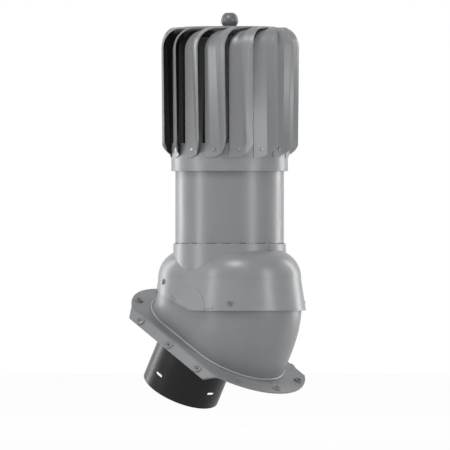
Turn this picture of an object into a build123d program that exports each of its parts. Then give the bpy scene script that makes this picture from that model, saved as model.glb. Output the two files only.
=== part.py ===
"""Rotating chimney cowl on a pitched-roof base, in millimetres.

+Z is up and is the axis of the upright pipe, +X points down the roof.
The origin is where that axis crosses the roof surface, which is the
underside of the base's seal. The roof falls at PITCH towards +X.
"""

from build123d import *
from math import acos, cos, degrees, radians, sin, sqrt, tan
import os

os.makedirs("parts", exist_ok=True)

# roof and base flange, in the plane of the roof (s down the fall, y across)
PITCH = 30.0
SEAL_T = 3.0
FLANGE_T = 3.0
FLANGE_S = -38.0
FLANGE_END = 194.0
FLANGE_SHOULDER = 136.0
FLANGE_SHOULDER_Y = 113.5
STRIP_HALF = 112.0
CREASE_Y = 118.0
BEND_R = 12.0
BEND_DEG = 45.0
STRIP_W = 17.0
OUTLINE_R = 14.0
BOSS_R = 8.0
BOSS_H = 2.6
BOSS_DISH_R = 5.6
BOSS_DISH = 1.4
FLANGE_HOLE_R = 2.6
END_BOSS = 179.0
CORNER_BOSS = (151.0, 82.0)
STRIP_BOSS_PITCH = 87.6
SEAL_IN = 100.5
SEAL_OUT = 111.0

# lower shell: three stadium sections from the roof plane up into the hood
SHELL_T = 3.0
FOOT_S = -42.0
FOOT_W = 95.0
FOOT_SEP = 113.0
BELLY_TILT = 8.0
BELLY_C = (-4.0, 0.0, 83.0)
BELLY_W = 107.3
BELLY_SEP = 87.0
NECK_Z = 150.0
NECK_W = 98.5
NECK_SEP = 77.4
BEAD_W = 98.0
BEAD_H = 2.4

# hood
HOOD_T = 3.0
HOOD_W = 107.7
HOOD_L = 38.7
HOOD_CREASE_Z = 141.3
HOOD_TOP_Z = 196.0
HOOD_TOP_R = 53.0
SKIRT_Z = 81.0
SKIRT_FLARE = 9.0
SKIRT_RISE_X = 15.0
SKIRT_RISE_DEG = 18.5
SKIRT_BLEND = 60.0
COLLAR_R = 106.4
COLLAR_IN_R = 104.2
RIM_Z = 207.2
RIM_CHAMFER = 1.2
SEAT_Z = 158.0
SEAT_T = 3.0
SEAT_IN_R = 97.5
LUGS = 20
LUG_W = 3.2
LUG_H = 8.0
PATCH_R = 44.0
PATCH_X = 5.0
PATCH_H = 0.9
CLIP_H = 1.6
RIDGE_RIB_W = 2.4
RIDGE_RIB_H = 1.4
SCREW_PAD_R = 6.0
SCREW_PAD_BACK = 1.2
HOOD_BOSS_R = 5.6
HOOD_BOSS_H = 1.4
HOOD_SCREW_R = 1.9
HOOD_HOLE_R = 2.3
HOOD_PILOT_R = 1.95
SCREW_HEAD_R = 4.2
SCREW_HEAD_H = 2.2
SLOT_W = 1.1
SLOT_D = 1.0
FRONT_SCREW_DEG = 58.4
FRONT_SCREW_Z = 95.4
BACK_SCREW_DEG = 70.7
BACK_SCREW_Z = 135.0

# pipe, insulation and ducts
PIPE_R = 102.6
PIPE_T = 2.5
PIPE_TOP_Z = 364.0
INSUL_LOW_Z = 192.0
INSUL_TOP_Z = 348.0
DUCT_R = 75.0
DUCT_T = 2.5
DUCT_TOP_Z = 350.0
DUCT_LOW_Z = 200.0
CAP_RING_Z = 348.1
CAP_RING_T = 2.8
ELBOW_Z = 158.5
ELBOW_BEND_R = 120.0
ELBOW_T = 2.8
ELBOW_TOP_Z = 235.0
ELBOW_TAIL = 80.0
SPIGOT_FROM = 45.0
SPIGOT_TO = 262.0
STOP_BEAD = (118.0, 122.0)
STOP_BEAD_H = 2.5
SLOT_BACK = 32.5
SLOT_L = 18.0
SLOT_HT = 5.5

# rotor
VANES = 15
LIP_DEG = -49.9
LIP_R = 130.9
VANE_LINE_R = 87.6
VANE_SPAN_DEG = 19.9
VANE_T = 1.3
LIP_T = 3.2
VANE_F = (0.0, 0.3, 0.6, 0.84, 0.855, 1.0)
VANE_TOP_R = (112.0, 115.0, 119.8, 126.3, 127.2, LIP_R + 0.5)
VANE_LOW_R = (111.4, 111.4, 113.3, 122.2, 123.2, 129.3)
VANE_DROP = (4.8, 4.4, 0.0, 0.0, -0.5, -0.5)
VANE_RUN = (6.0, 12.0, 41.0, 50.4, 43.0, 49.0)
VANE_THICK = (VANE_T, VANE_T, VANE_T, VANE_T, LIP_T, LIP_T)
VANE_LOW_Z = 369.0
VANE_BEND_R = 40.0
VANE_CORNER_R = 33.0
TAB_IN_R = 55.0
TAB_DEG = (30.0, 43.0)
COLLAR_RING_R = 110.3
COLLAR_RING_T = 1.2
COLLAR_RING_Z = (344.0, 396.0)
LOW_RIVET_Z = 384.8
LOW_RIVET_DEG = -10.4
LOW_RIVET_SEAT_R = 112.05
TOP_RIVET_R = 61.4
TOP_RIVET_DEG = 36.5
RIVET_R = 1.6
RIVET_HOLE_R = 1.7
RIVET_HEAD_R = 3.3
RIVET_HEAD_H = 1.3
RIVET_TAIL_R = 2.5
RIVET_TAIL_H = 1.2
DISC_R = 76.0
DISC_T = 1.2
DISC_TOP_Z = 616.0
BALL_R = 16.3
BALL_Z = 628.6
BALL_TOP_Z = 643.0
BALL_BORE_Z = 633.0

# spindle, bearings and their spider
SPINDLE_R = 4.97
SPINDLE_Z = (290.0, 632.0)
RACE_BORE_R = 5.0
RACE_IN_R = 7.4
RACE_OUT_R = 10.6
RACE_R = 12.98
RACE_W = 8.0
PITCH_R = 9.0
BALL_SIZE_R = 2.38
GROOVE_R = 2.46
BALLS = 7
BEARING_Z = (301.5, 341.5)
HOUSING_R = 17.0
HOUSING_BORE_R = 13.0
HOUSING_STEP_R = 11.4
HOUSING_Z = (298.0, 358.0)
CLIP_T = 1.0
CLIP_IN_R = 11.6
CLIP_OUT_R = 13.8
ARM_W = 16.0
ARM_T = 4.0
ARM_Z = 351.0
ARM_TAB_T = 3.0
ARM_TAB_TOP = 362.5
ARM_SCREW_Z = 358.2
ARM_SCREW_R = 1.9
ARM_SCREW_L = 8.5
ARM_HEAD_R = 3.8
ARM_HEAD_H = 2.0
ARM_DEG = 14.0
BRACE_HUB_R = 13.0
BRACE_HUB_Z = (382.0, 394.0)
BRACE_ARM_W = 15.0
BRACE_ARM_T = 3.0
BRACE_ARM_Z = 389.0
BRACE_TAB_T = 2.0
BRACE_TAB_LOW = 378.5
NUT_AF = 17.0
NUT_H = 8.0
WASHER_T = 1.5
TOP_WASHER_R = 24.0
TOP_WASHER_T = 2.0
SPACER_R = 7.0

# clearances
TOUCH = 0.05
SLIP = 0.1
GUIDE = 0.2

FALL = Vector(cos(radians(PITCH)), 0, -sin(radians(PITCH)))
NORMAL = Vector(sin(radians(PITCH)), 0, cos(radians(PITCH)))
ACROSS = Vector(0, 1, 0)
ROOF = Plane(origin=(0, 0, 0), x_dir=FALL, z_dir=NORMAL)
FLANGE_TOP = SEAL_T + FLANGE_T
ELBOW = Vector(0, 0, ELBOW_Z)
DISC_LOW_Z = DISC_TOP_Z - DISC_T
VANE_TOP_Z = DISC_LOW_Z - TOUCH


def roof_at(s, y, h):
    """The roof plane moved to s, y and height h above the roof."""
    point = ROOF.from_local_coords(Vector(s, y, h))
    return Plane(origin=point, x_dir=FALL, z_dir=NORMAL)


def level(z):
    return Plane.XY.offset(z)


def write(part, name):
    part.label = name
    export_step(part, f"parts/{name}.step")


def bent_flange_profile():
    """Cross-section of the flange with both long sides bent down."""
    bend = radians(BEND_DEG)
    flat = CREASE_Y - BEND_R * tan(bend / 2)
    half = bend / 2
    centre = FLANGE_TOP - BEND_R
    small = BEND_R - FLANGE_T
    tip_y = flat + BEND_R * sin(bend) + STRIP_W * cos(bend)
    tip_h = centre + BEND_R * cos(bend) - STRIP_W * sin(bend)
    low_y = tip_y - FLANGE_T * sin(bend)
    low_h = tip_h - FLANGE_T * cos(bend)
    Line((-flat, FLANGE_TOP), (flat, FLANGE_TOP))
    for side in (1, -1):
        ThreePointArc(
            (side * flat, FLANGE_TOP),
            (side * (flat + BEND_R * sin(half)), centre + BEND_R * cos(half)),
            (side * (flat + BEND_R * sin(bend)), centre + BEND_R * cos(bend)),
        )
        Line(
            (side * (flat + BEND_R * sin(bend)), centre + BEND_R * cos(bend)),
            (side * tip_y, tip_h),
        )
        Line((side * tip_y, tip_h), (side * low_y, low_h))
        Line(
            (side * low_y, low_h),
            (side * (flat + small * sin(bend)), centre + small * cos(bend)),
        )
        ThreePointArc(
            (side * (flat + small * sin(bend)), centre + small * cos(bend)),
            (side * (flat + small * sin(half)), centre + small * cos(half)),
            (side * flat, SEAL_T),
        )
    Line((flat, SEAL_T), (-flat, SEAL_T))


def flange_outline():
    """Plan of the flange: two shallow end arcs and straight sides."""
    wide = CREASE_Y + 15.6
    Line((-STRIP_HALF, wide), (STRIP_HALF, wide))
    Line((STRIP_HALF, wide), (FLANGE_SHOULDER, FLANGE_SHOULDER_Y))
    ThreePointArc(
        (FLANGE_SHOULDER, FLANGE_SHOULDER_Y),
        (FLANGE_END, 0),
        (FLANGE_SHOULDER, -FLANGE_SHOULDER_Y),
    )
    Line((FLANGE_SHOULDER, -FLANGE_SHOULDER_Y), (STRIP_HALF, -wide))
    Line((STRIP_HALF, -wide), (-STRIP_HALF, -wide))
    Line((-STRIP_HALF, -wide), (-FLANGE_SHOULDER, -FLANGE_SHOULDER_Y))
    ThreePointArc(
        (-FLANGE_SHOULDER, -FLANGE_SHOULDER_Y),
        (-FLANGE_END, 0),
        (-FLANGE_SHOULDER, FLANGE_SHOULDER_Y),
    )
    Line((-FLANGE_SHOULDER, FLANGE_SHOULDER_Y), (-STRIP_HALF, wide))


def boss_planes():
    """Top planes of the twelve screw bosses on the flange."""
    bend = radians(BEND_DEG)
    flat = CREASE_Y - BEND_R * tan(bend / 2)
    mid = STRIP_W / 2
    y = flat + BEND_R * sin(bend) + mid * cos(bend)
    h = FLANGE_TOP - BEND_R + BEND_R * cos(bend) - mid * sin(bend)
    planes = [roof_at(FLANGE_S + s, 0, FLANGE_TOP) for s in (END_BOSS, -END_BOSS)]
    for s in (CORNER_BOSS[0], -CORNER_BOSS[0]):
        for across in (CORNER_BOSS[1], -CORNER_BOSS[1]):
            planes.append(roof_at(FLANGE_S + s, across, FLANGE_TOP))
    for side in (1, -1):
        tilt = NORMAL * cos(bend) + ACROSS * (side * sin(bend))
        for n in (-1, 0, 1):
            at = ROOF.from_local_coords(
                Vector(FLANGE_S + n * STRIP_BOSS_PITCH, side * y, h)
            )
            planes.append(Plane(origin=at, x_dir=FALL, z_dir=tilt))
    return planes


def shell_sections(thin, low, high):
    """The lower shell's three sections, made thin smaller all round."""
    belly = Plane(
        origin=BELLY_C,
        x_dir=(cos(radians(BELLY_TILT)), 0, -sin(radians(BELLY_TILT))),
        z_dir=(sin(radians(BELLY_TILT)), 0, cos(radians(BELLY_TILT))),
    )
    return (
        (roof_at(FOOT_S, 0, low), FOOT_SEP, FOOT_W - thin),
        (belly, BELLY_SEP, BELLY_W - thin),
        (level(high), NECK_SEP, NECK_W - thin),
    )


def screw_sites():
    """Hood screws: centre on the hood's outer wall and outward direction."""
    sites = []
    for side in (1, -1):
        for end, deg, z in (
            (1, FRONT_SCREW_DEG, FRONT_SCREW_Z),
            (-1, BACK_SCREW_DEG, BACK_SCREW_Z),
        ):
            w = hood_half_width(z)
            out = Vector(end * cos(radians(deg)), side * sin(radians(deg)), 0)
            at = Vector(end * HOOD_L, 0, z) + out * w
            sites.append((at, out))
    return sites


def hood_half_width(z):
    share = (HOOD_CREASE_Z - z) / (HOOD_CREASE_Z - SKIRT_Z)
    return HOOD_W + SKIRT_FLARE * max(share, 0)


def base_shell():
    with BuildPart() as part:
        across = Plane(
            origin=ROOF.from_local_coords(Vector(FLANGE_S, 0, 0)),
            x_dir=ACROSS,
            z_dir=FALL,
        )
        with BuildSketch(across):
            with BuildLine():
                bent_flange_profile()
            make_face()
        extrude(amount=FLANGE_END + 5, both=True)
        with BuildSketch(roof_at(FLANGE_S, 0, -40)) as plan:
            with BuildLine():
                flange_outline()
            make_face()
            corners = [v for v in plan.sketch_local.vertices() if abs(v.Y) > CREASE_Y]
            fillet(corners, OUTLINE_R)
        extrude(amount=80, mode=Mode.INTERSECT)
        for plane, sep, w in shell_sections(0, SEAL_T, NECK_Z):
            with BuildSketch(plane):
                SlotCenterToCenter(sep, 2 * w)
        loft()
        with BuildSketch(roof_at(FOOT_S, 0, FLANGE_TOP - 0.5)):
            SlotCenterToCenter(FOOT_SEP, 2 * BEAD_W)
        extrude(amount=BEAD_H + 0.5)
        for plane in boss_planes():
            with BuildSketch(plane.offset(-0.5)):
                Circle(BOSS_R)
            extrude(amount=BOSS_H + 0.5)
        for at, out in screw_sites():
            with BuildSketch(Plane(origin=at - out * (HOOD_T + SCREW_PAD_BACK), z_dir=out)):
                Circle(SCREW_PAD_R)
            extrude(amount=-12)
        for plane, sep, w in shell_sections(SHELL_T, SEAL_T - 6, NECK_Z + 3):
            with BuildSketch(plane):
                SlotCenterToCenter(sep, 2 * w)
        loft(mode=Mode.SUBTRACT)
        for plane in boss_planes():
            with BuildSketch(plane.offset(BOSS_H - BOSS_DISH)):
                Circle(BOSS_DISH_R)
            extrude(amount=BOSS_DISH, mode=Mode.SUBTRACT)
            with BuildSketch(plane.offset(BOSS_H)):
                Circle(FLANGE_HOLE_R)
            extrude(amount=-BOSS_H - FLANGE_T - 4, mode=Mode.SUBTRACT)
        for at, out in screw_sites():
            with BuildSketch(Plane(origin=at, z_dir=out)):
                Circle(HOOD_PILOT_R)
            extrude(amount=-25, mode=Mode.SUBTRACT)
    return part.part


def flange_seal():
    with BuildPart() as part:
        with BuildSketch(roof_at(FOOT_S, 0, 0)):
            SlotCenterToCenter(FOOT_SEP, 2 * SEAL_OUT)
            SlotCenterToCenter(FOOT_SEP, 2 * SEAL_IN, mode=Mode.SUBTRACT)
        extrude(amount=SEAL_T)
    return part.part


def hood_body(grow):
    """Dome and flared skirt, grow bigger than nominal all round."""
    with BuildPart() as part:
        with BuildSketch(level(HOOD_CREASE_Z)):
            SlotCenterToCenter(2 * HOOD_L, 2 * (HOOD_W + grow))
        extrude(amount=HOOD_TOP_Z + grow - HOOD_CREASE_Z)
        fillet(part.faces().sort_by(Axis.Z)[-1].edges(), HOOD_TOP_R + grow)
        with BuildSketch(level(HOOD_CREASE_Z)):
            SlotCenterToCenter(2 * HOOD_L, 2 * (HOOD_W + grow))
        with BuildSketch(level(SKIRT_Z)):
            SlotCenterToCenter(2 * HOOD_L, 2 * (HOOD_W + SKIRT_FLARE + grow))
        loft(ruled=True)
    return part.part


def below_hood():
    """Everything under the hood's lower edge."""
    rise = 220 * tan(radians(SKIRT_RISE_DEG))
    with BuildPart() as part:
        with BuildSketch(Plane.XZ):
            with BuildLine():
                Polyline(
                    (220, SKIRT_Z),
                    (SKIRT_RISE_X, SKIRT_Z),
                    (SKIRT_RISE_X - 220, SKIRT_Z + rise),
                    (SKIRT_RISE_X - 220, -20),
                    (220, -20),
                    close=True,
                )
            make_face()
            knee = [
                v
                for v in BuildSketch._get_context().vertices()
                if abs(v.X - SKIRT_RISE_X) < 1 and abs(v.Y - SKIRT_Z) < 1
            ]
            fillet(knee, SKIRT_BLEND)
        extrude(amount=220, both=True)
    return part.part


def hood_marks():
    """Raised half-moon patches and small clips on both sides."""
    raised = hood_body(PATCH_H)
    proud = hood_body(CLIP_H)
    with BuildPart() as moons:
        with BuildSketch(Plane.XZ):
            with Locations((PATCH_X, SKIRT_Z)):
                Circle(PATCH_R)
        extrude(amount=200, both=True)
    with BuildPart() as clips:
        with BuildSketch(Plane.XZ):
            with Locations((58, SKIRT_Z + 5.6)):
                Rectangle(19, 3.2)
            with Locations(Location((-40, SKIRT_Z + 23.5), -28)):
                Rectangle(17, 3.2)
        extrude(amount=200, both=True)
    return [raised & moons.part, proud & clips.part]


def hood():
    outer = hood_body(0)
    inner = hood_body(-HOOD_T)
    marks = hood_marks()
    with BuildPart() as part:
        add(outer)
        for mark in marks:
            add(mark)
        with BuildSketch(level(SEAT_Z)):
            Circle(COLLAR_R)
        extrude(amount=RIM_Z - SEAT_Z)
        rim = part.faces().sort_by(Axis.Z)[-1].edges()
        chamfer(rim, RIM_CHAMFER)
        for turn in (0, 180):
            rib = Plane.XY.rotated((0, 0, turn))
            with BuildSketch(rib.offset(HOOD_TOP_Z - 3)):
                with Locations((COLLAR_R, 0)):
                    Rectangle(2 * RIDGE_RIB_H, RIDGE_RIB_W)
            extrude(amount=RIM_Z - HOOD_TOP_Z)
        for at, out in screw_sites():
            with BuildSketch(Plane(origin=at - out * 2, z_dir=out)):
                Circle(HOOD_BOSS_R)
            extrude(amount=2 + HOOD_BOSS_H)
        add(inner, mode=Mode.SUBTRACT)
        add(below_hood(), mode=Mode.SUBTRACT)
        with BuildSketch(level(SEAT_Z)):
            Circle(COLLAR_R)
            Circle(SEAT_IN_R, mode=Mode.SUBTRACT)
        extrude(amount=SEAT_T + 1)
        with BuildSketch(level(SEAT_Z)):
            Circle(COLLAR_R)
            Circle(COLLAR_IN_R - 1, mode=Mode.SUBTRACT)
        extrude(amount=RIM_Z - SEAT_Z - 8)
        with BuildSketch(level(SEAT_Z + SEAT_T)):
            Circle(COLLAR_IN_R)
        extrude(amount=RIM_Z, mode=Mode.SUBTRACT)
        with BuildSketch(level(RIM_Z - LUG_H - 0.8)):
            with PolarLocations((PIPE_R + SLIP + COLLAR_IN_R + 0.4) / 2, LUGS):
                Rectangle(COLLAR_IN_R + 0.4 - PIPE_R - SLIP, LUG_W)
        extrude(amount=LUG_H)
        with BuildSketch(level(RIM_Z - LUG_H - 0.8)):
            Circle(PIPE_R + SLIP)
        extrude(amount=LUG_H, mode=Mode.SUBTRACT)
        with BuildSketch(level(SEAT_Z - 1)):
            Circle(SEAT_IN_R)
        extrude(amount=20, mode=Mode.SUBTRACT)
        for at, out in screw_sites():
            with BuildSketch(Plane(origin=at + out * 5, z_dir=out)):
                Circle(HOOD_HOLE_R)
            extrude(amount=-20, mode=Mode.SUBTRACT)
    return part.part


def hood_screws():
    with BuildPart() as part:
        for at, out in screw_sites():
            seat = Plane(origin=at + out * (HOOD_BOSS_H + TOUCH), z_dir=out)
            with BuildSketch(seat):
                Circle(SCREW_HEAD_R)
            extrude(amount=SCREW_HEAD_H, taper=18)
            with BuildSketch(seat):
                Circle(HOOD_SCREW_R)
            extrude(amount=-14)
            with BuildSketch(seat.offset(SCREW_HEAD_H)):
                Rectangle(3 * SCREW_HEAD_R, SLOT_W)
            extrude(amount=-SLOT_D, mode=Mode.SUBTRACT)
    return part.part


def ring(outer, inner, low, high):
    """A plain ring or tube about the upright axis."""
    with BuildPart() as part:
        with BuildSketch(level(low)):
            Circle(outer)
            Circle(inner, mode=Mode.SUBTRACT)
        extrude(amount=high - low)
    return part.part


def arm_turns():
    return [ARM_DEG + 120 * n for n in range(3)]


def outer_pipe():
    tube = ring(PIPE_R, PIPE_R - PIPE_T, SEAT_Z + SEAT_T + TOUCH, PIPE_TOP_Z)
    with BuildPart() as part:
        add(tube)
        chamfer(part.edges().sort_by(Axis.Z)[-2:], 0.6)
        for turn in arm_turns():
            with BuildSketch(radial_plane(turn, PIPE_R + 3, ARM_SCREW_Z)):
                Circle(ARM_SCREW_R + SLIP)
            extrude(amount=-10, mode=Mode.SUBTRACT)
    return part.part


def radial_plane(turn, r, z):
    """A plane facing outward at the angle turn, radius r and height z."""
    out = Vector(cos(radians(turn)), sin(radians(turn)), 0)
    return Plane(origin=out * r + Vector(0, 0, z), x_dir=(0, 0, 1), z_dir=out)


def pipe_insulation():
    low = INSUL_LOW_Z
    with BuildPart() as part:
        with BuildSketch(level(low)):
            Circle(PIPE_R - PIPE_T - SLIP)
            Circle(DUCT_R + ELBOW_T + 0.8, mode=Mode.SUBTRACT)
        extrude(amount=ELBOW_TOP_Z + 1 - low)
        with BuildSketch(level(ELBOW_TOP_Z + 1)):
            Circle(PIPE_R - PIPE_T - SLIP)
            Circle(DUCT_R + SLIP, mode=Mode.SUBTRACT)
        extrude(amount=INSUL_TOP_Z - ELBOW_TOP_Z - 1)
    return part.part


def cap_ring():
    with BuildPart() as part:
        with BuildSketch(level(CAP_RING_Z)):
            Circle(PIPE_R - PIPE_T - SLIP)
            Circle(DUCT_R + SLIP, mode=Mode.SUBTRACT)
        extrude(amount=CAP_RING_T)
        with BuildSketch(level(CAP_RING_Z + CAP_RING_T)):
            Circle(DUCT_R + 2.4)
            Circle(DUCT_R - DUCT_T, mode=Mode.SUBTRACT)
        extrude(amount=-0.8)
        chamfer(part.faces().sort_by(Axis.Z)[-1].edges(), 0.3)
    return part.part


def duct_line():
    """The elbow's centre line: upright, bend, then square to the roof."""
    drop = ELBOW_BEND_R * tan(radians(PITCH / 2))
    start = ELBOW_Z + drop
    half = radians(PITCH / 2)
    full = radians(PITCH)
    mid = (ELBOW_BEND_R * (cos(half) - 1), 0, start - ELBOW_BEND_R * sin(half))
    end = (ELBOW_BEND_R * (cos(full) - 1), 0, start - ELBOW_BEND_R * sin(full))
    tail = ELBOW - NORMAL * ELBOW_TAIL
    Line((0, 0, ELBOW_TOP_Z), (0, 0, start))
    ThreePointArc((0, 0, start), mid, end)
    Line(end, tail)


def duct_elbow():
    with BuildPart() as part:
        with BuildLine():
            duct_line()
        with BuildSketch(Plane(origin=(0, 0, ELBOW_TOP_Z), z_dir=(0, 0, -1))):
            Circle(DUCT_R + GUIDE + ELBOW_T)
            Circle(DUCT_R + GUIDE, mode=Mode.SUBTRACT)
        sweep()
    return part.part


def spigot_slots():
    """Planes of the four tie slots near the spigot's open end."""
    at = ELBOW - NORMAL * (SPIGOT_TO - SLOT_BACK)
    planes = []
    for out, along in (
        (ACROSS, FALL),
        (-ACROSS, FALL),
        (FALL, ACROSS),
        (-FALL, ACROSS),
    ):
        planes.append(Plane(origin=at + out * (DUCT_R + 5), x_dir=along, z_dir=out))
    return planes


def spigot():
    start = Plane(origin=ELBOW - NORMAL * SPIGOT_FROM, z_dir=-NORMAL)
    with BuildPart() as part:
        with BuildSketch(start):
            Circle(DUCT_R)
            Circle(DUCT_R - DUCT_T, mode=Mode.SUBTRACT)
        extrude(amount=SPIGOT_TO - SPIGOT_FROM)
        end = part.faces().sort_by(Axis((0, 0, 0), NORMAL))[0]
        chamfer(end.edges(), 0.5)
        with BuildSketch(start.offset(STOP_BEAD[0] - SPIGOT_FROM)):
            Circle(DUCT_R + STOP_BEAD_H)
            Circle(DUCT_R - DUCT_T / 2, mode=Mode.SUBTRACT)
        extrude(amount=STOP_BEAD[1] - STOP_BEAD[0])
        for plane in spigot_slots():
            with BuildSketch(plane):
                SlotOverall(SLOT_L, SLOT_HT)
            extrude(amount=-16, mode=Mode.SUBTRACT)
    return part.part


def bearing_spider():
    wall = PIPE_R - PIPE_T
    with BuildPart() as part:
        with BuildSketch(level(HOUSING_Z[0])):
            Circle(HOUSING_R)
        extrude(amount=HOUSING_Z[1] - HOUSING_Z[0])
        for turn in arm_turns():
            arm = Plane.XY.rotated((0, 0, turn))
            with BuildSketch(arm.offset(ARM_Z)):
                with Locations(((wall - 1) / 2, 0)):
                    Rectangle(wall - 1, ARM_W)
            extrude(amount=ARM_T)
            with BuildSketch(arm.offset(ARM_Z)):
                with Locations((wall - ARM_TAB_T / 2 - 1, 0)):
                    Rectangle(ARM_TAB_T + 2, ARM_W)
            extrude(amount=ARM_TAB_TOP - ARM_Z)
        trim = ring(wall + 20, wall - TOUCH, ARM_Z - 5, ARM_TAB_TOP + 5)
        add(trim, mode=Mode.SUBTRACT)
        with BuildSketch(level(HOUSING_Z[0] - 1)):
            Circle(HOUSING_STEP_R)
        extrude(amount=HOUSING_Z[1] - HOUSING_Z[0] + 2, mode=Mode.SUBTRACT)
        low, high = BEARING_Z
        for a, b in (
            (HOUSING_Z[0] - 1, low + RACE_W + TOUCH),
            (high - TOUCH, HOUSING_Z[1] + 1),
        ):
            with BuildSketch(level(a)):
                Circle(HOUSING_BORE_R)
            extrude(amount=b - a, mode=Mode.SUBTRACT)
        for z in clip_heights():
            with BuildSketch(level(z - TOUCH)):
                Circle(CLIP_OUT_R + SLIP)
            extrude(amount=CLIP_T + 2 * TOUCH, mode=Mode.SUBTRACT)
        for turn in arm_turns():
            with BuildSketch(radial_plane(turn, wall + 3, ARM_SCREW_Z)):
                Circle(ARM_SCREW_R + TOUCH)
            extrude(amount=-12, mode=Mode.SUBTRACT)
    return part.part


def clip_heights():
    low, high = BEARING_Z
    return (low - CLIP_T - 2 * TOUCH, high + RACE_W + 2 * TOUCH)


def housing_clips():
    """Open snap rings that keep the outer races in the housing."""
    with BuildPart() as part:
        for z in clip_heights():
            with BuildSketch(level(z)):
                Circle(CLIP_OUT_R)
                Circle(CLIP_IN_R, mode=Mode.SUBTRACT)
                with Locations((CLIP_IN_R + 1, 0)):
                    Rectangle(8, 4.5, mode=Mode.SUBTRACT)
            extrude(amount=CLIP_T)
    return part.part


def arm_screws():
    with BuildPart() as part:
        for turn in arm_turns():
            seat = radial_plane(turn, PIPE_R + TOUCH + 0.15, ARM_SCREW_Z)
            with BuildSketch(seat):
                Circle(ARM_HEAD_R)
            extrude(amount=ARM_HEAD_H, taper=15)
            with BuildSketch(seat):
                Circle(ARM_SCREW_R)
            extrude(amount=-ARM_SCREW_L)
            with BuildSketch(seat.offset(ARM_HEAD_H)):
                Rectangle(3 * ARM_HEAD_R, SLOT_W)
            extrude(amount=-SLOT_D, mode=Mode.SUBTRACT)
    return part.part


def races(outer, inner):
    """Both bearings' rings between two radii, with the ball groove cut."""
    with BuildPart() as part:
        for z in BEARING_Z:
            with BuildSketch(level(z)):
                Circle(outer)
                Circle(inner, mode=Mode.SUBTRACT)
            extrude(amount=RACE_W)
            with Locations((0, 0, z + RACE_W / 2)):
                Torus(PITCH_R, GROOVE_R, mode=Mode.SUBTRACT)
    return part.part


def ball_cages():
    with BuildPart() as part:
        for z in BEARING_Z:
            with BuildSketch(level(z + RACE_W / 2 - 1)):
                Circle(PITCH_R + 0.7)
                Circle(PITCH_R - 0.7, mode=Mode.SUBTRACT)
            extrude(amount=2)
            with BuildPart(level(z + RACE_W / 2)) as balls:
                with PolarLocations(PITCH_R, BALLS):
                    Sphere(BALL_SIZE_R)
            add(balls.part)
    return part.part


def hexagon(across_flats, low, height, bore):
    with BuildPart() as part:
        with BuildSketch(level(low)):
            RegularPolygon(across_flats / 2, 6, major_radius=False)
            Circle(bore, mode=Mode.SUBTRACT)
        extrude(amount=height)
        with BuildSketch(level(low)):
            Circle(across_flats / 2 * 1.06)
        extrude(amount=height, mode=Mode.INTERSECT)
    return part.part


def spindle():
    with BuildPart() as part:
        with BuildSketch(level(SPINDLE_Z[0])):
            Circle(SPINDLE_R)
        extrude(amount=SPINDLE_Z[1] - SPINDLE_Z[0])
        chamfer(part.edges().group_by(Axis.Z)[0], 0.8)
        chamfer(part.edges().group_by(Axis.Z)[-1], 0.8)
    return part.part


def disc_nut_top():
    return DISC_LOW_Z - TOP_WASHER_T - 2 * TOUCH


def spindle_nuts():
    """Lock nuts: under the bearings, on the brace, under the disc."""
    low = BEARING_Z[0] - 2 * TOUCH - WASHER_T - NUT_H
    tops = (low, BRACE_HUB_Z[1] + TOUCH, disc_nut_top() - NUT_H)
    with BuildPart() as part:
        for z in tops:
            add(hexagon(NUT_AF, z, NUT_H, SPINDLE_R + TOUCH))
    return part.part


def spacers():
    """Washer and tubes that stack the inner races and the brace."""
    low, high = BEARING_Z
    with BuildPart() as part:
        for a, b in (
            (low - TOUCH - WASHER_T, low - TOUCH),
            (low + RACE_W + TOUCH, high - TOUCH),
            (high + RACE_W + TOUCH, BRACE_HUB_Z[0] - TOUCH),
        ):
            add(ring(SPACER_R, SPINDLE_R + TOUCH, a, b))
    return part.part


def disc_washer():
    top = DISC_LOW_Z - TOUCH
    return ring(TOP_WASHER_R, SPINDLE_R + SLIP, top - TOP_WASHER_T, top)


def low_rivet_turn(n):
    return LIP_DEG + LOW_RIVET_DEG + 360 / VANES * n


def top_rivet_turn(n):
    return LIP_DEG + TOP_RIVET_DEG + 360 / VANES * n


def brace_turns():
    return [low_rivet_turn(5 * n) for n in range(3)]


def rotor_brace():
    wall = COLLAR_RING_R - COLLAR_RING_T
    with BuildPart() as part:
        with BuildSketch(level(BRACE_HUB_Z[0])):
            Circle(BRACE_HUB_R)
        extrude(amount=BRACE_HUB_Z[1] - BRACE_HUB_Z[0])
        for turn in brace_turns():
            arm = Plane.XY.rotated((0, 0, turn))
            with BuildSketch(arm.offset(BRACE_ARM_Z)):
                with Locations(((wall + 2) / 2, 0)):
                    Rectangle(wall + 2, BRACE_ARM_W)
            extrude(amount=BRACE_ARM_T)
            with BuildSketch(arm.offset(BRACE_TAB_LOW)):
                with Locations((wall, 0)):
                    Rectangle(2 * BRACE_TAB_T, BRACE_ARM_W)
            extrude(amount=BRACE_ARM_Z - BRACE_TAB_LOW + 1)
        trim = ring(wall + 20, wall - TOUCH, BRACE_TAB_LOW - 5, BRACE_HUB_Z[1] + 5)
        add(trim, mode=Mode.SUBTRACT)
        with BuildSketch(level(BRACE_HUB_Z[0] - 1)):
            Circle(SPINDLE_R + TOUCH)
        extrude(amount=BRACE_HUB_Z[1] - BRACE_HUB_Z[0] + 2, mode=Mode.SUBTRACT)
        for turn in brace_turns():
            with BuildSketch(radial_plane(turn, wall + 3, LOW_RIVET_Z)):
                Circle(RIVET_HOLE_R)
            extrude(amount=-12, mode=Mode.SUBTRACT)
    return part.part


def rotor_collar():
    low, high = COLLAR_RING_Z
    with BuildPart() as part:
        add(ring(COLLAR_RING_R, COLLAR_RING_R - COLLAR_RING_T, low, high))
        for n in range(VANES):
            spot = radial_plane(low_rivet_turn(n), COLLAR_RING_R + 3, LOW_RIVET_Z)
            with BuildSketch(spot):
                Circle(RIVET_HOLE_R)
            extrude(amount=-6, mode=Mode.SUBTRACT)
    return part.part


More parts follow.
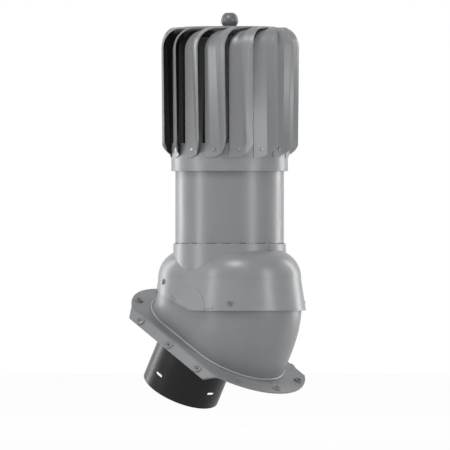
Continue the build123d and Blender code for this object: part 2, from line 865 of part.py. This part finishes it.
def line_turn(f, r_top):
    """Angle of the foot of a vane section's line, from the lip's angle."""
    return VANE_SPAN_DEG * (f - 1) + degrees(acos(VANE_LINE_R / r_top))


def along(r):
    return sqrt(r * r - VANE_LINE_R**2)


def section_plane(foot_deg):
    """Vertical plane touching the circle VANE_LINE_R at foot_deg.

    Its x runs from outside the rotor towards the foot point.
    """
    foot = Vector(cos(radians(foot_deg)), sin(radians(foot_deg)), 0)
    inward = Vector(-sin(radians(foot_deg)), cos(radians(foot_deg)), 0)
    return Plane(
        origin=foot * VANE_LINE_R,
        x_dir=inward,
        z_dir=inward.cross(Vector(0, 0, 1)),
    )


def ribbon(r_top, r_low, drop, run, thick):
    """Section of a vane: upright, bend and run inward, in its plane."""
    top = VANE_TOP_Z - drop
    x = -along(r_top)
    low_x = -along(r_low)
    big, small = VANE_BEND_R, VANE_BEND_R - thick
    cx, cz = x + big, top - big
    k = sqrt(0.5)
    Line((low_x, VANE_LOW_Z), (x, cz))
    ThreePointArc((x, cz), (cx - big * k, cz + big * k), (cx, top))
    Line((cx, top), (cx + run, top))
    Line((cx + run, top), (cx + run, top - thick))
    Line((cx + run, top - thick), (cx, top - thick))
    ThreePointArc(
        (cx, top - thick), (cx - small * k, cz + small * k), (x + thick, cz)
    )
    Line((x + thick, cz), (low_x + thick, VANE_LOW_Z))
    Line((low_x + thick, VANE_LOW_Z), (low_x, VANE_LOW_Z))


def vane_blade():
    """One vane with its lip at angle 0."""
    with BuildPart() as part:
        for f, r_top, r_low, drop, run, thick in zip(
            VANE_F, VANE_TOP_R, VANE_LOW_R, VANE_DROP, VANE_RUN, VANE_THICK
        ):
            with BuildSketch(section_plane(line_turn(f, r_top))):
                with BuildLine():
                    ribbon(r_top, r_low, drop, run, thick)
                make_face()
        loft(ruled=True)
        foot = [line_turn(f, r) for f, r in zip(VANE_F[2:4], VANE_TOP_R[2:4])]
        with BuildSketch(level(VANE_TOP_Z - VANE_T)):
            with BuildLine():
                Polyline(*tab_points(foot), close=True)
            make_face()
        extrude(amount=VANE_T)
        corner_at = VANE_LOW_Z + VANE_CORNER_R
        facing = radial_plane(-9.0, 60, corner_at)
        with BuildSketch(facing):
            with Locations((-30, -30)):
                Rectangle(60, 80)
            with Locations((0, 10)):
                Circle(VANE_CORNER_R, mode=Mode.SUBTRACT)
        extrude(amount=90, mode=Mode.SUBTRACT)
        with BuildSketch(radial_plane(LOW_RIVET_DEG, 100, LOW_RIVET_Z)):
            Circle(RIVET_HOLE_R)
        extrude(amount=30, mode=Mode.SUBTRACT)
        seat = radial_plane(LOW_RIVET_DEG, LOW_RIVET_SEAT_R - TOUCH, LOW_RIVET_Z)
        with BuildSketch(seat):
            Circle(RIVET_HEAD_R + SLIP)
        extrude(amount=20, mode=Mode.SUBTRACT)
        with BuildSketch(level(VANE_TOP_Z - 5)):
            with PolarLocations(TOP_RIVET_R, 1, start_angle=TOP_RIVET_DEG):
                Circle(RIVET_HOLE_R)
        extrude(amount=10, mode=Mode.SUBTRACT)
    return part.part


def polar(r, deg):
    return (r * cos(radians(deg)), r * sin(radians(deg)))


def tab_points(foot):
    """Plan of the tab that carries a vane's top rivet."""
    reach = degrees(acos(VANE_LINE_R / (VANE_LINE_R + 0.8)))
    return (
        polar(VANE_LINE_R + 0.8, foot[0] + 2.5 - reach),
        polar(VANE_LINE_R + 0.8, foot[1] - 0.5 - reach),
        polar(VANE_LINE_R - 0.1, foot[1] - 0.5),
        polar(TAB_IN_R, TAB_DEG[1]),
        polar(TAB_IN_R, TAB_DEG[0]),
        polar(VANE_LINE_R - 0.1, foot[0] + 2.5),
    )


def rivets_low():
    """Rivets through vane and collar; three also hold the brace."""
    inner = COLLAR_RING_R - COLLAR_RING_T - TOUCH
    with BuildPart() as part:
        for n in range(VANES):
            turn = low_rivet_turn(n)
            tail = inner - (BRACE_TAB_T + TOUCH if n % 5 == 0 else 0)
            with BuildSketch(radial_plane(turn, LOW_RIVET_SEAT_R, LOW_RIVET_Z)):
                Circle(RIVET_HEAD_R)
            extrude(amount=RIVET_HEAD_H, taper=20)
            with BuildSketch(radial_plane(turn, LOW_RIVET_SEAT_R, LOW_RIVET_Z)):
                Circle(RIVET_R)
            extrude(amount=-(LOW_RIVET_SEAT_R - tail))
            with BuildSketch(radial_plane(turn, tail, LOW_RIVET_Z)):
                Circle(RIVET_TAIL_R)
            extrude(amount=-RIVET_TAIL_H)
    return part.part


def rivets_top():
    seat = DISC_TOP_Z + TOUCH
    tail = VANE_TOP_Z - VANE_T - TOUCH
    with BuildPart() as part:
        for n in range(VANES):
            at = polar(TOP_RIVET_R, top_rivet_turn(n))
            with BuildSketch(level(seat)):
                with Locations(at):
                    Circle(RIVET_HEAD_R)
            extrude(amount=RIVET_HEAD_H, taper=20)
            with BuildSketch(level(seat)):
                with Locations(at):
                    Circle(RIVET_R)
            extrude(amount=tail - seat)
            with BuildSketch(level(tail)):
                with Locations(at):
                    Circle(RIVET_TAIL_R)
            extrude(amount=-RIVET_TAIL_H)
    return part.part


def top_disc():
    with BuildPart() as part:
        with BuildSketch(level(DISC_LOW_Z)):
            Circle(DISC_R)
            Circle(SPINDLE_R + SLIP, mode=Mode.SUBTRACT)
            for n in range(VANES):
                with Locations(polar(TOP_RIVET_R, top_rivet_turn(n))):
                    Circle(RIVET_HOLE_R, mode=Mode.SUBTRACT)
        extrude(amount=DISC_T)
    return part.part


def finial():
    with BuildPart() as part:
        with Locations((0, 0, BALL_Z)):
            Sphere(BALL_R)
        with BuildSketch(level(DISC_TOP_Z + TOUCH)):
            Circle(3 * BALL_R)
        extrude(amount=BALL_TOP_Z - DISC_TOP_Z - TOUCH, mode=Mode.INTERSECT)
        fillet(part.edges().filter_by(GeomType.CIRCLE).sort_by(Axis.Z)[-1], 1.5)
        with BuildSketch(level(DISC_TOP_Z - 1)):
            Circle(SPINDLE_R + TOUCH)
        extrude(amount=BALL_BORE_Z - DISC_TOP_Z + 1, mode=Mode.SUBTRACT)
    return part.part


write(base_shell(), "base_shell")
write(flange_seal(), "flange_seal")
write(hood(), "hood")
write(hood_screws(), "hood_screws")
write(outer_pipe(), "outer_pipe")
write(pipe_insulation(), "pipe_insulation")
write(cap_ring(), "cap_ring")
write(ring(DUCT_R, DUCT_R - DUCT_T, DUCT_LOW_Z, DUCT_TOP_Z - SLIP), "inner_duct")
write(duct_elbow(), "duct_elbow")
write(spigot(), "spigot")
write(bearing_spider(), "bearing_spider")
write(housing_clips(), "housing_clips")
write(arm_screws(), "arm_screws")
write(races(RACE_R, RACE_OUT_R), "outer_races")
write(races(RACE_IN_R, RACE_BORE_R), "inner_races")
write(ball_cages(), "ball_cages")
write(spindle(), "spindle")
write(spindle_nuts(), "spindle_nuts")
write(spacers(), "spacers")
write(disc_washer(), "disc_washer")
write(rotor_brace(), "rotor_brace")
write(rotor_collar(), "rotor_collar")
write(rivets_low(), "collar_rivets")
write(rivets_top(), "disc_rivets")
write(top_disc(), "top_disc")
write(finial(), "ball_finial")
blade = vane_blade()
for n in range(VANES):
    turned = blade.rotate(Axis.Z, LIP_DEG + 360 / VANES * n)
    write(turned, f"vane_{n + 1:02d}")
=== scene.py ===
from math import cos, pi, radians, sin

import bmesh
import bpy
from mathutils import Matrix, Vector


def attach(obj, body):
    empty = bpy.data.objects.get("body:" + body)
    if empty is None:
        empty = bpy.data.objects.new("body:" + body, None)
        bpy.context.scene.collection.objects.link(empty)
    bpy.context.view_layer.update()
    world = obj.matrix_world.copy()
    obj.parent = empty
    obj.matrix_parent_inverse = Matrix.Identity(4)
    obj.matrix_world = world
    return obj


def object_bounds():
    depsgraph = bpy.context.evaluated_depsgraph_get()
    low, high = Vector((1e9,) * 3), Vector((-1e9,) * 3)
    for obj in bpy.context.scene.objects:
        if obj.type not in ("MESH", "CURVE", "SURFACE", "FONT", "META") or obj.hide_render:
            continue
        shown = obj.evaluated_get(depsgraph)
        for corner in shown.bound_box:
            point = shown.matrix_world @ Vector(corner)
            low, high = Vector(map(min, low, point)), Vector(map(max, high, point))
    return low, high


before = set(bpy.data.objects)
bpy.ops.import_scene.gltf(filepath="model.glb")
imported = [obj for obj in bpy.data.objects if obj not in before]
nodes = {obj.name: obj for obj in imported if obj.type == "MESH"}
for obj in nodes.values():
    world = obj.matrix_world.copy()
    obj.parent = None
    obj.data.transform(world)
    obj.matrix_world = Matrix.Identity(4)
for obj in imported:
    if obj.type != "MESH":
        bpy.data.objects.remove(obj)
cad_low, cad_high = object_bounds()

# camera: level, and so far away that the view is almost parallel
VIEW_AZIMUTH = 45.0
VIEW_WIDTH = 0.850
LOOK_AT = Vector((-0.00615, -0.00615, 0.2422))
LENS = 1000.0
SENSOR = 36.0
CLIP_START = 1.0
CLIP_END = 60.0

# floor and world
FLOOR_DROP = 0.03
FLOOR_HALF = 6.0
FLOOR_GREY = (0.8, 0.8, 0.8, 1)
FLOOR_GLOW = 0.97
WHITE = (1, 1, 1, 1)
WORLD_LEVEL = 0.25

# lamps: azimuth of the place, height, distance, width, tallness, watts
LAMPS = {
    "right_box": (93.0, 0.45, 2.0, 0.30, 1.5, 17.0),
    "left_box": (-21.0, 0.45, 2.0, 0.30, 1.5, 17.0),
    "high_front": (20.0, 2.1, 1.3, 0.7, 0.7, 25.0),
    "left_rim": (-78.0, 0.30, 1.5, 0.36, 1.9, 15.0),
    "right_rim": (168.0, 0.30, 1.5, 0.36, 1.9, 15.0),
}

# noise of every material: scale, detail, roughness (the grain's scale is each material's own)
BROAD_NOISE = (9.0, 4.0, 0.55)
PATCH_NOISE = (38.0, 5.0, 0.6)
GRAIN_DETAIL = 4.0
GRAIN_ROUGH = 0.6
# the share of a noise's range that is used
MID_RANGE = (0.3, 0.7)
BROAD_SHARE = 0.6
LIGHT_SHARE = 0.6
GLOSS_SPREAD = 0.05
GRAIN_GLOSS = 0.03
WAVE_STRENGTH = 0.25
WAVE_DEPTH = 0.0012
GRAIN_STRENGTH = 0.5
COAT_ROUGH = 0.25
# cosine between the rounded and the plain normal where the lighter edge colour starts, and where it is
# full; it stands for use on most parts and is a painted highlight on the vanes' lips
EDGE_WEAR_AND_HIGHLIGHT_LEAN = (0.97, 0.75)
EDGE_WEAR_AND_HIGHLIGHT_PATCHES = (0.35, 0.65, 0.25, 1.0)
BEVEL_SAMPLES = 4
# cosine to the way out from the axis where the painted shade on the vanes' inner faces starts, and
# where it is full
INWARD_SHADE_LEAN = (-0.12, -0.35)

# the roof plane, and the stadium of the shell's foot in it
PITCH = radians(30.0)
FALL = Vector((cos(PITCH), 0, -sin(PITCH)))
ACROSS = Vector((0, 1, 0))
NORMAL = Vector((sin(PITCH), 0, cos(PITCH)))
FOOT_S = -0.042
FOOT_HALF = 0.0565

# moulded rib on the foot's step
BEAD_LINE = 0.0969
BEAD_H = 0.0084
BEAD_R = 0.0016
BEAD_SIDES = 12
BEAD_ARC_STEPS = 60
BEAD_RUN_STEPS = 12

# rim between the top disc and the vanes: radius, height
RIM = (
    (0.0740, 0.61602),
    (0.0745, 0.61680),
    (0.0760, 0.61700),
    (0.0855, 0.61665),
    (0.0868, 0.61630),
    (0.0873, 0.61570),
    (0.0873, 0.61485),
    (0.0865, 0.61485),
    (0.0765, 0.61485),
    (0.0761, 0.61500),
    (0.0761, 0.61602),
)

# dark sheet of painted shade that hangs under the vanes' tabs: radius, height
SHADE_SKIRT_SECTION = (
    (0.0862, 0.61342),
    (0.0870, 0.61342),
    (0.0870, 0.5990),
    (0.0866, 0.5984),
    (0.0862, 0.5990),
)
RING_STEPS = 180

# dark blocks of painted shade in the gap between the pipe and the hood's rim
SHADE_BLOCK_R = (0.10275, 0.1041)
SHADE_BLOCK_Z = (0.2040, 0.2083)
SHADE_BLOCK_EASE = 0.0004
SHADE_BLOCK_RUNS = 20
SHADE_BLOCK_CUTS = 10
SHADE_BLOCK_START = 0.1
SHADE_BLOCK_SHARE = 0.62
SHADE_BLOCK_VARY = 0.25
SHADE_BLOCK_BEAT = 2.4


def make_camera():
    data = bpy.data.cameras.new("camera")
    data.lens = LENS
    data.sensor_width = SENSOR
    away = VIEW_WIDTH / 2 * LENS / (SENSOR / 2)
    a = radians(VIEW_AZIMUTH)
    back = Vector((sin(a), -cos(a), 0))
    camera = bpy.data.objects.new("camera", data)
    camera.location = LOOK_AT + back * away
    camera.rotation_mode = "QUATERNION"
    camera.rotation_quaternion = (-back).to_track_quat("-Z", "Y")
    data.clip_start = CLIP_START
    data.clip_end = CLIP_END
    bpy.context.scene.collection.objects.link(camera)
    bpy.context.scene.camera = camera


def make_lamps():
    for name, (azimuth, height, away, wide, tall, watts) in LAMPS.items():
        data = bpy.data.lights.new(name, "AREA")
        data.shape = "RECTANGLE"
        data.size = wide
        data.size_y = tall
        data.energy = watts
        lamp = bpy.data.objects.new(name, data)
        a = radians(azimuth)
        out = Vector((sin(a), -cos(a), 0))
        lamp.location = Vector((0, 0, height)) + out * away
        aim = LOOK_AT - lamp.location
        lamp.rotation_mode = "QUATERNION"
        lamp.rotation_quaternion = aim.to_track_quat("-Z", "Y")
        bpy.context.scene.collection.objects.link(lamp)


class Graph:
    """Short calls for the nodes of one material or world."""

    def __init__(self, tree):
        self.tree = tree
        tree.nodes.clear()

    def node(self, kind, **values):
        made = self.tree.nodes.new(kind)
        for key, value in values.items():
            setattr(made, key, value)
        return made

    def link(self, a, b):
        self.tree.links.new(a, b)

    def noise(self, coords, scale, detail, rough):
        made = self.node("ShaderNodeTexNoise")
        made.inputs["Scale"].default_value = scale
        made.inputs["Detail"].default_value = detail
        made.inputs["Roughness"].default_value = rough
        self.link(coords, made.inputs["Vector"])
        return made.outputs["Fac"]

    def remap(self, value, low, high, to_low, to_high):
        made = self.node("ShaderNodeMapRange")
        made.inputs["From Min"].default_value = low
        made.inputs["From Max"].default_value = high
        made.inputs["To Min"].default_value = to_low
        made.inputs["To Max"].default_value = to_high
        self.link(value, made.inputs["Value"])
        return made.outputs["Result"]

    def math(self, kind, a, b):
        made = self.node("ShaderNodeMath", operation=kind)
        for socket, value in zip(made.inputs, (a, b)):
            if isinstance(value, (int, float)):
                socket.default_value = value
            else:
                self.link(value, socket)
        return made.outputs[0]

    def mix(self, fac, a, b):
        made = self.node("ShaderNodeMix", data_type="RGBA")
        self.link(fac, made.inputs["Factor"])
        for socket, value in ((made.inputs[6], a), (made.inputs[7], b)):
            if isinstance(value, (tuple, list)):
                socket.default_value = (*value[:3], 1.0)
            else:
                self.link(value, socket)
        return made.outputs[2]

    def bump(self, height, strength, depth, normal):
        made = self.node("ShaderNodeBump")
        made.inputs["Strength"].default_value = strength
        made.inputs["Distance"].default_value = depth
        self.link(height, made.inputs["Height"])
        self.link(normal, made.inputs["Normal"])
        return made.outputs["Normal"]

    def dot(self, a, b):
        made = self.node("ShaderNodeVectorMath", operation="DOT_PRODUCT")
        self.link(a, made.inputs[0])
        self.link(b, made.inputs[1])
        return made.outputs["Value"]

    def edges(self, radius):
        """Rounded normal, and how far it leans away from the plain one."""
        rounded = self.node("ShaderNodeBevel", samples=BEVEL_SAMPLES)
        rounded.inputs["Radius"].default_value = radius
        plain = self.node("ShaderNodeNewGeometry")
        lean = self.dot(rounded.outputs["Normal"], plain.outputs["Normal"])
        return rounded.outputs["Normal"], self.remap(lean, *EDGE_WEAR_AND_HIGHLIGHT_LEAN, 0.0, 1.0)

    def inward_shade_mask(self, place_node):
        """Mask for painted shade: 1 where a face looks towards the rotor's axis, 0 where it looks
        away.
        """
        flat = self.node("ShaderNodeVectorMath", operation="MULTIPLY")
        flat.inputs[1].default_value = (1.0, 1.0, 0.0)
        self.link(place_node.outputs["Object"], flat.inputs[0])
        out = self.node("ShaderNodeVectorMath", operation="NORMALIZE")
        self.link(flat.outputs["Vector"], out.inputs[0])
        lean = self.dot(out.outputs["Vector"], place_node.outputs["Normal"])
        return self.remap(lean, *INWARD_SHADE_LEAN, 0.0, 1.0)

    def white_rays(self):
        """1 for a ray from the camera, through glass or off a shiny face, or else 0."""
        ray = self.node("ShaderNodeLightPath")
        either = self.math("MAXIMUM", ray.outputs["Is Camera Ray"], ray.outputs["Is Transmission Ray"])
        return self.math("MAXIMUM", either, ray.outputs["Is Glossy Ray"])


def surface(name, color, rough, grain, depth, stain, metal=0.0, wear_and_edge_highlight=None, brush=None,
            coat=0.0, edge=0.0006, spec=0.5, inner_face_shade=None):
    """A material: tone and gloss vary, the surface has grain, edges are eased and lighter, from use on
    most parts and as a painted highlight on the vanes' lips.
    """
    made = bpy.data.materials.new(name)
    made.use_nodes = True
    g = Graph(made.node_tree)
    place_node = g.node("ShaderNodeTexCoord")
    place = place_node.outputs["Object"]
    grain_place = place
    if brush:
        stretch = g.node("ShaderNodeMapping")
        stretch.inputs["Scale"].default_value = brush
        g.link(place, stretch.inputs["Vector"])
        grain_place = stretch.outputs["Vector"]
    broad = g.noise(place, *BROAD_NOISE)
    patches = g.noise(place, *PATCH_NOISE)
    fine = g.noise(grain_place, grain, GRAIN_DETAIL, GRAIN_ROUGH)
    broad_part = g.math("MULTIPLY", broad, BROAD_SHARE)
    shade = g.math("ADD", broad_part, g.math("MULTIPLY", patches, 1 - BROAD_SHARE))
    dark = [c * (1 - stain) for c in color]
    light = [min(1.0, c * (1 + stain * LIGHT_SHARE)) for c in color]
    tone = g.mix(g.remap(shade, *MID_RANGE, 0.0, 1.0), dark, light)
    normal, worn_and_lit_edge = g.edges(edge)
    # lighter edges: real use on most parts, a painted highlight on the vanes' lips
    if wear_and_edge_highlight:
        rubbed_and_lit_edges = g.math("MULTIPLY", worn_and_lit_edge, g.remap(patches, *EDGE_WEAR_AND_HIGHLIGHT_PATCHES))
        tone = g.mix(rubbed_and_lit_edges, tone, wear_and_edge_highlight)
    # painted shade: faces that look towards the rotor's axis get a darker colour
    if inner_face_shade:
        tone = g.mix(g.inward_shade_mask(place_node), tone, inner_face_shade)
    shader = g.node("ShaderNodeBsdfPrincipled")
    g.link(tone, shader.inputs["Base Color"])
    broad_gloss = g.remap(shade, *MID_RANGE, rough - GLOSS_SPREAD, rough + GLOSS_SPREAD)
    fine_gloss = g.remap(fine, *MID_RANGE, -GRAIN_GLOSS, GRAIN_GLOSS)
    g.link(g.math("ADD", broad_gloss, fine_gloss), shader.inputs["Roughness"])
    shader.inputs["Metallic"].default_value = metal
    shader.inputs["Specular IOR Level"].default_value = spec
    shader.inputs["Coat Weight"].default_value = coat
    shader.inputs["Coat Roughness"].default_value = COAT_ROUGH
    waves = g.bump(broad, WAVE_STRENGTH, WAVE_DEPTH, normal)
    g.link(g.bump(fine, GRAIN_STRENGTH, depth, waves), shader.inputs["Normal"])
    out = g.node("ShaderNodeOutputMaterial")
    g.link(shader.outputs[0], out.inputs["Surface"])
    return made


def make_world():
    world = bpy.data.worlds.new("studio")
    bpy.context.scene.world = world
    world.use_nodes = True
    g = Graph(world.node_tree)
    mix = g.node("ShaderNodeMixShader")
    g.link(g.white_rays(), mix.inputs[0])
    for place, strength in ((1, WORLD_LEVEL), (2, 1.0)):
        sky = g.node("ShaderNodeBackground")
        sky.inputs["Color"].default_value = WHITE
        sky.inputs["Strength"].default_value = strength
        g.link(sky.outputs[0], mix.inputs[place])
    out = g.node("ShaderNodeOutputWorld")
    g.link(mix.outputs[0], out.inputs["Surface"])


def make_floor():
    z = cad_low.z - FLOOR_DROP
    h = FLOOR_HALF
    mesh = bpy.data.meshes.new("floor")
    mesh.from_pydata([(-h, -h, z), (h, -h, z), (h, h, z), (-h, h, z)], [], [(0, 1, 2, 3)])
    floor = bpy.data.objects.new("floor", mesh)
    bpy.context.scene.collection.objects.link(floor)
    made = bpy.data.materials.new("floor")
    made.use_nodes = True
    g = Graph(made.node_tree)
    matt = g.node("ShaderNodeBsdfDiffuse")
    matt.inputs["Color"].default_value = FLOOR_GREY
    glow = g.node("ShaderNodeEmission")
    glow.inputs["Color"].default_value = WHITE
    glow.inputs["Strength"].default_value = 1.0
    mix = g.node("ShaderNodeMixShader")
    g.link(g.math("MULTIPLY", g.white_rays(), FLOOR_GLOW), mix.inputs[0])
    g.link(matt.outputs[0], mix.inputs[1])
    g.link(glow.outputs[0], mix.inputs[2])
    out = g.node("ShaderNodeOutputMaterial")
    g.link(mix.outputs[0], out.inputs["Surface"])
    mesh.materials.append(made)


def add_piece(name, points, faces, finish, body, smooth=True):
    """A closed piece, with every face turned outwards."""
    mesh = bpy.data.meshes.new(name)
    mesh.from_pydata([tuple(p) for p in points], [], faces)
    mesh.validate()
    mesh.update()
    for face in mesh.polygons:
        face.use_smooth = smooth
    mesh.materials.append(finish)
    piece = bpy.data.objects.new(name, mesh)
    bpy.context.scene.collection.objects.link(piece)
    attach(piece, body)
    turned = bmesh.new()
    turned.from_mesh(mesh)
    bmesh.ops.recalc_face_normals(turned, faces=turned.faces)
    turned.to_mesh(mesh)
    turned.free()


def ring_points(section, angle):
    """The points of a section of radius and height, turned to an angle about the axis."""
    return [Vector((r * cos(angle), r * sin(angle), z)) for r, z in section]


def swept_ring(rows):
    """Points and faces of a closed tube, from rings of equally many points."""
    n, m = len(rows), len(rows[0])
    points = [p for row in rows for p in row]
    faces = []
    for i in range(n):
        k = (i + 1) % n
        for j in range(m):
            q = (j + 1) % m
            faces.append((i * m + j, k * m + j, k * m + q, i * m + q))
    return points, faces


def foot_bead(finish):
    """Moulded rib on the step round the shell's foot."""
    line = []
    for end in (1, -1):
        for n in range(BEAD_ARC_STEPS + 1):
            a = -pi / 2 + pi * n / BEAD_ARC_STEPS
            out = Vector((cos(a) * end, sin(a) * end))
            line.append((Vector((end * FOOT_HALF, 0)) + out * BEAD_LINE, out))
        for n in range(1, BEAD_RUN_STEPS):
            s = end * FOOT_HALF * (1 - 2 * n / BEAD_RUN_STEPS)
            line.append((Vector((s, end * BEAD_LINE)), Vector((0, end))))
    rows = []
    for at, out in line:
        centre = FALL * (FOOT_S + at.x) + ACROSS * at.y + NORMAL * BEAD_H
        side = FALL * out.x + ACROSS * out.y
        row = []
        for n in range(BEAD_SIDES):
            a = 2 * pi * n / BEAD_SIDES
            row.append(centre + (side * cos(a) + NORMAL * sin(a)) * BEAD_R)
        rows.append(row)
    points, faces = swept_ring(rows)
    add_piece("foot_bead", points, faces, finish, "stand")


def turned_ring(name, section, finish):
    """A ring on the rotor's axis."""
    rows = [ring_points(section, 2 * pi * n / RING_STEPS) for n in range(RING_STEPS)]
    points, faces = swept_ring(rows)
    add_piece(name, points, faces, finish, "rotor")


def rim_shade_blocks(finish):
    """Dark blocks of painted shade with gaps between them, round the pipe within the hood's rim."""
    points = []
    faces = []
    (r_in, r_out), (low, high) = SHADE_BLOCK_R, SHADE_BLOCK_Z
    section = (
        (r_in, low),
        (r_out, low),
        (r_out, high - SHADE_BLOCK_EASE),
        (r_out - SHADE_BLOCK_EASE, high),
        (r_in, high),
    )
    m = len(section)
    step = 2 * pi / SHADE_BLOCK_RUNS
    for run in range(SHADE_BLOCK_RUNS):
        share = SHADE_BLOCK_SHARE * (1 - SHADE_BLOCK_VARY + SHADE_BLOCK_VARY * sin(run * SHADE_BLOCK_BEAT))
        first = len(points)
        for n in range(SHADE_BLOCK_CUTS + 1):
            points += ring_points(section, step * (run + SHADE_BLOCK_START + share * n / SHADE_BLOCK_CUTS))
        for n in range(SHADE_BLOCK_CUTS):
            at = first + n * m
            for j in range(m):
                q = (j + 1) % m
                faces.append((at + j, at + m + j, at + m + q, at + q))
        last = first + SHADE_BLOCK_CUTS * m
        faces.append(tuple(first + j for j in range(m)))
        faces.append(tuple(last + m - 1 - j for j in range(m)))
    add_piece("rim_shade_blocks", points, faces, finish, "stand", smooth=False)


SHELL = surface(
    "shell_grey",
    color=(0.19, 0.195, 0.202),
    rough=0.40,
    grain=1100.0,
    depth=0.00004,
    stain=0.07,
    wear_and_edge_highlight=(0.33, 0.335, 0.345),
)
HOOD = surface(
    "hood_grey",
    color=(0.205, 0.21, 0.217),
    rough=0.35,
    grain=1400.0,
    depth=0.00007,
    stain=0.07,
    wear_and_edge_highlight=(0.35, 0.355, 0.365),
)
PIPE = surface(
    "pipe_grey",
    color=(0.18, 0.185, 0.192),
    rough=0.34,
    grain=1600.0,
    depth=0.00008,
    stain=0.06,
    wear_and_edge_highlight=(0.35, 0.355, 0.365),
)
VANE = surface(
    "vane_grey",
    color=(0.19, 0.195, 0.202),
    rough=0.36,
    grain=2200.0,
    depth=0.00006,
    stain=0.08,
    # painted highlight: the light edge colour and wide edge stand for the bright line along the lips'
    # edges
    wear_and_edge_highlight=(0.62, 0.625, 0.635),
    coat=0.05,
    edge=0.0011,
    # painted shade on the vane faces that look towards the rotor's axis
    inner_face_shade=(0.016, 0.016, 0.017),
)
BLACK = surface(
    "duct_black",
    color=(0.011, 0.011, 0.012),
    rough=0.33,
    grain=1200.0,
    depth=0.0001,
    stain=0.2,
    wear_and_edge_highlight=(0.04, 0.04, 0.042),
    spec=0.22,
)
# the seal's own black, also used for the blocks of painted shade under the hood's rim
SEAL_AND_SHADE_BLACK = surface(
    "seal",
    color=(0.02, 0.02, 0.021),
    rough=0.75,
    grain=900.0,
    depth=0.0002,
    stain=0.25,
    wear_and_edge_highlight=(0.05, 0.05, 0.05),
)
FOAM = surface(
    "insulation",
    color=(0.62, 0.60, 0.52),
    rough=0.9,
    grain=420.0,
    depth=0.0008,
    stain=0.15,
)
ZINC = surface(
    "zinc",
    color=(0.55, 0.56, 0.58),
    rough=0.3,
    grain=500.0,
    depth=0.00005,
    stain=0.15,
    metal=1.0,
    wear_and_edge_highlight=(0.75, 0.75, 0.76),
    brush=(1, 1, 14),
)
CAST = surface(
    "cast",
    color=(0.55, 0.56, 0.57),
    rough=0.42,
    grain=700.0,
    depth=0.00015,
    stain=0.12,
    metal=1.0,
    wear_and_edge_highlight=(0.72, 0.73, 0.74),
)
BRIGHT = surface(
    "bright",
    color=(0.68, 0.68, 0.69),
    rough=0.16,
    grain=900.0,
    depth=0.00002,
    stain=0.06,
    metal=1.0,
    wear_and_edge_highlight=(0.8, 0.8, 0.8),
    brush=(1, 1, 10),
)
HEAD = surface(
    "painted_head",
    color=(0.12, 0.122, 0.128),
    rough=0.30,
    grain=1800.0,
    depth=0.00006,
    stain=0.1,
    wear_and_edge_highlight=(0.5, 0.5, 0.51),
    coat=0.2,
)
KNOB = surface(
    "knob_grey",
    color=(0.095, 0.097, 0.1),
    rough=0.38,
    grain=1800.0,
    depth=0.00005,
    stain=0.08,
    wear_and_edge_highlight=(0.16, 0.16, 0.165),
    coat=0.1,
)
RIVET = surface(
    "rivet",
    color=(0.27, 0.275, 0.28),
    rough=0.3,
    grain=1200.0,
    depth=0.00004,
    stain=0.1,
    metal=0.7,
    wear_and_edge_highlight=(0.6, 0.6, 0.61),
)
# painted shade: near-black colour for the sheet under the vanes' tabs, where the rotor is in shade
SHADE_SHEET_DARK = surface(
    "painted_shade_dark",
    color=(0.03, 0.03, 0.032),
    rough=0.5,
    grain=1800.0,
    depth=0.00006,
    stain=0.12,
    wear_and_edge_highlight=(0.08, 0.08, 0.082),
)
# painted shade: the spindle and spacers are zinc, darkened to how they look in shade within the rotor
SHADED_ZINC = surface(
    "zinc_in_painted_shade",
    color=(0.16, 0.16, 0.165),
    rough=0.5,
    grain=500.0,
    depth=0.00005,
    stain=0.18,
    metal=0.7,
    wear_and_edge_highlight=(0.3, 0.3, 0.31),
    brush=(1, 1, 14),
)
# painted highlight: the rib is the shell's own plastic, made lighter for the bright line along it
BEAD_LIT = surface(
    "bead_painted_highlight",
    color=(0.33, 0.335, 0.345),
    rough=0.36,
    grain=1400.0,
    depth=0.0001,
    stain=0.06,
    wear_and_edge_highlight=(0.45, 0.455, 0.465),
)

# a node that isn't named here is a vane, or is finished like one
FINISH = {
    "base_shell": SHELL,
    "flange_seal": SEAL_AND_SHADE_BLACK,
    "hood": HOOD,
    "hood_screws": HEAD,
    "outer_pipe": PIPE,
    "pipe_insulation": FOAM,
    "cap_ring": PIPE,
    "inner_duct": BLACK,
    "duct_elbow": BLACK,
    "spigot": BLACK,
    "bearing_spider": CAST,
    "housing_clips": ZINC,
    "arm_screws": ZINC,
    "outer_races": BRIGHT,
    "inner_races": BRIGHT,
    "ball_cages": BRIGHT,
    "spindle": SHADED_ZINC,
    "spindle_nuts": ZINC,
    "spacers": SHADED_ZINC,
    "disc_washer": ZINC,
    "rotor_brace": ZINC,
    "collar_rivets": RIVET,
    "disc_rivets": HEAD,
    "ball_finial": KNOB,
}

for name, node in nodes.items():
    finish = FINISH.get(name, VANE)
    if node.data.materials:
        for slot in node.material_slots:
            slot.material = finish
    else:
        node.data.materials.append(finish)

foot_bead(BEAD_LIT)
turned_ring("disc_rim", RIM, VANE)
turned_ring("shade_skirt", SHADE_SKIRT_SECTION, SHADE_SHEET_DARK)
rim_shade_blocks(SEAL_AND_SHADE_BLACK)
make_camera()
make_lamps()
make_world()
make_floor()
bpy.context.scene.view_settings.view_transform = "Standard"
